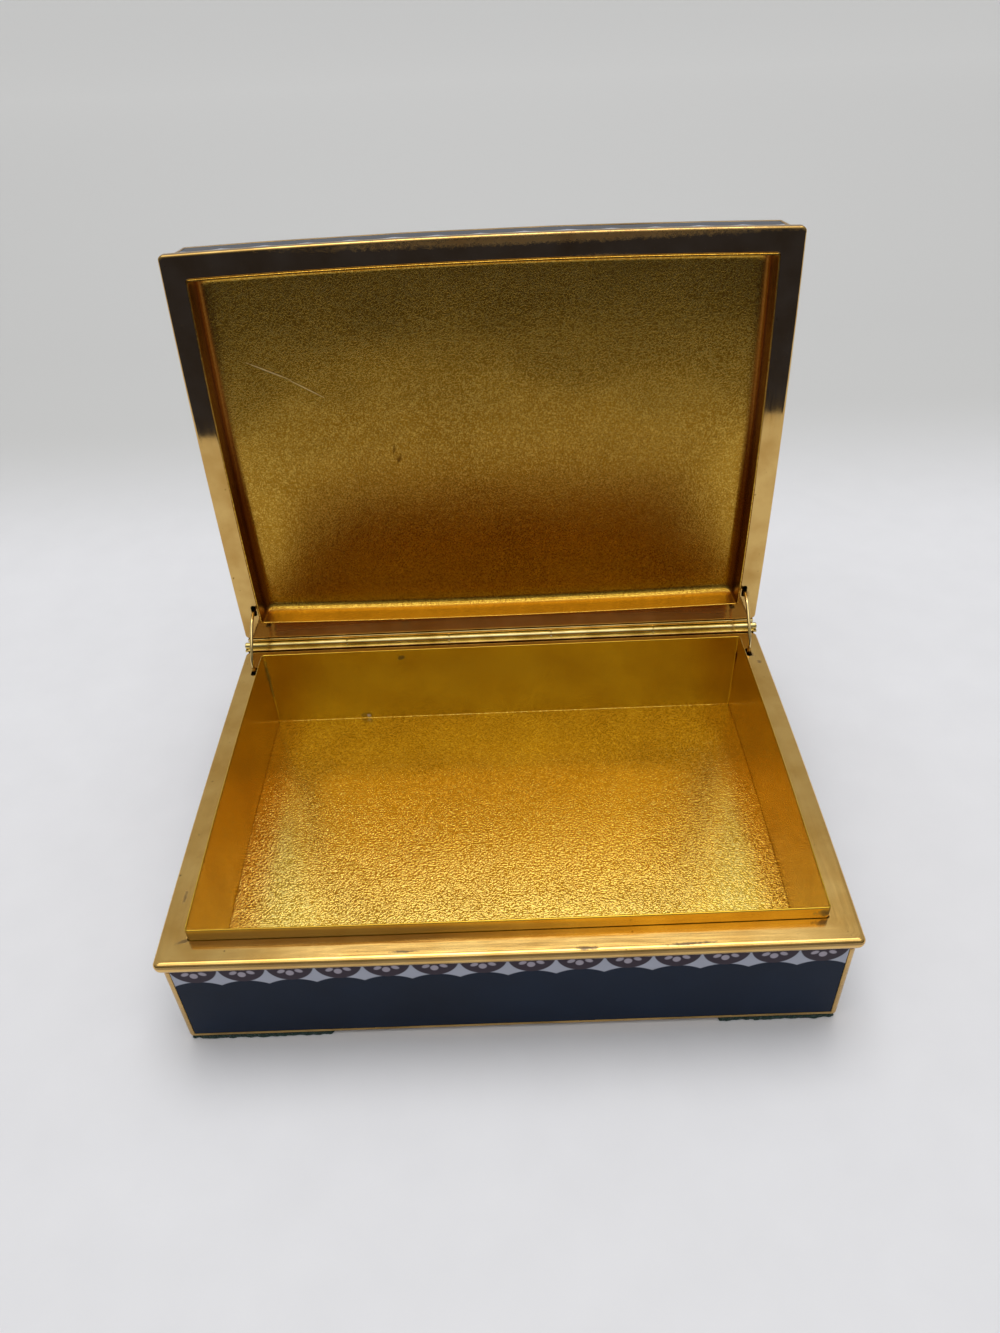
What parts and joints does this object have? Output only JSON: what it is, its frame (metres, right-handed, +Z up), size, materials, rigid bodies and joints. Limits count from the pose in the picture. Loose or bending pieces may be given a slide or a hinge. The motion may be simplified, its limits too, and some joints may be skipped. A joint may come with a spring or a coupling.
{
  "type": "lacquer jewelry box",
  "caption": "Rectangular jewelry box of gilt brass with dark lacquered sides, a brass lining and a hinged lid held open by stay wires.",
  "frame": {"origin": "under the middle of the open box, on the surface that it stands on", "axes": "+Z up, +X to the right along the hinge, the front of the box faces -Y"},
  "size_m": [0.1664, 0.1432, 0.1551],
  "materials": {
    "gilt_brass": "polished",
    "satin_brass": "satin",
    "grained_brass": "fine grain",
    "navy_lacquer": "gloss lacquer",
    "green_felt": "felt"
  },
  "bodies": {
    "base": {"base_case": "gilt_brass", "base_rim": "gilt_brass", "base_liner": "satin_brass", "base_floor": "grained_brass", "hinge_base": "gilt_brass", "hinge_pin": "gilt_brass", "base_plate_front": "navy_lacquer", "base_plate_back": "navy_lacquer", "base_plate_left": "navy_lacquer", "base_plate_right": "navy_lacquer", "felt_pad_front_left": "green_felt", "felt_pad_front_right": "green_felt", "felt_pad_back_left": "green_felt", "felt_pad_back_right": "green_felt"},
    "lid": {"lid_case": "gilt_brass", "lid_rim": "gilt_brass", "lid_tray": "grained_brass", "hinge_lid": "gilt_brass", "lid_plate_top": "navy_lacquer", "lid_plate_front": "navy_lacquer", "lid_plate_back": "navy_lacquer", "lid_plate_left": "navy_lacquer", "lid_plate_right": "navy_lacquer"},
    "stay_left": {"stay_left": "gilt_brass"},
    "stay_right": {"stay_right": "gilt_brass"}
  },
  "joints": [
    {"name": "lid_hinge", "type": "hinge", "parent": "base", "child": "lid", "pos_m": [0, 0.04945, 0.0332], "axis": [1, 0, 0], "range_deg": [0, 92.5]},
    {"name": "stay_left_turn", "type": "hinge", "parent": "base", "child": "stay_left", "pos_m": [0, 0.04945, 0.0332], "axis": [1, 0, 0], "range_deg": [0, 46.25]},
    {"name": "stay_right_turn", "type": "hinge", "parent": "base", "child": "stay_right", "pos_m": [0, 0.04945, 0.0332], "axis": [1, 0, 0], "range_deg": [0, 46.25]}
  ],
  "couplings": [
    {"joint": "stay_left_turn", "follows": "lid_hinge", "ratio": 0.5},
    {"joint": "stay_right_turn", "follows": "lid_hinge", "ratio": 0.5}
  ]
}
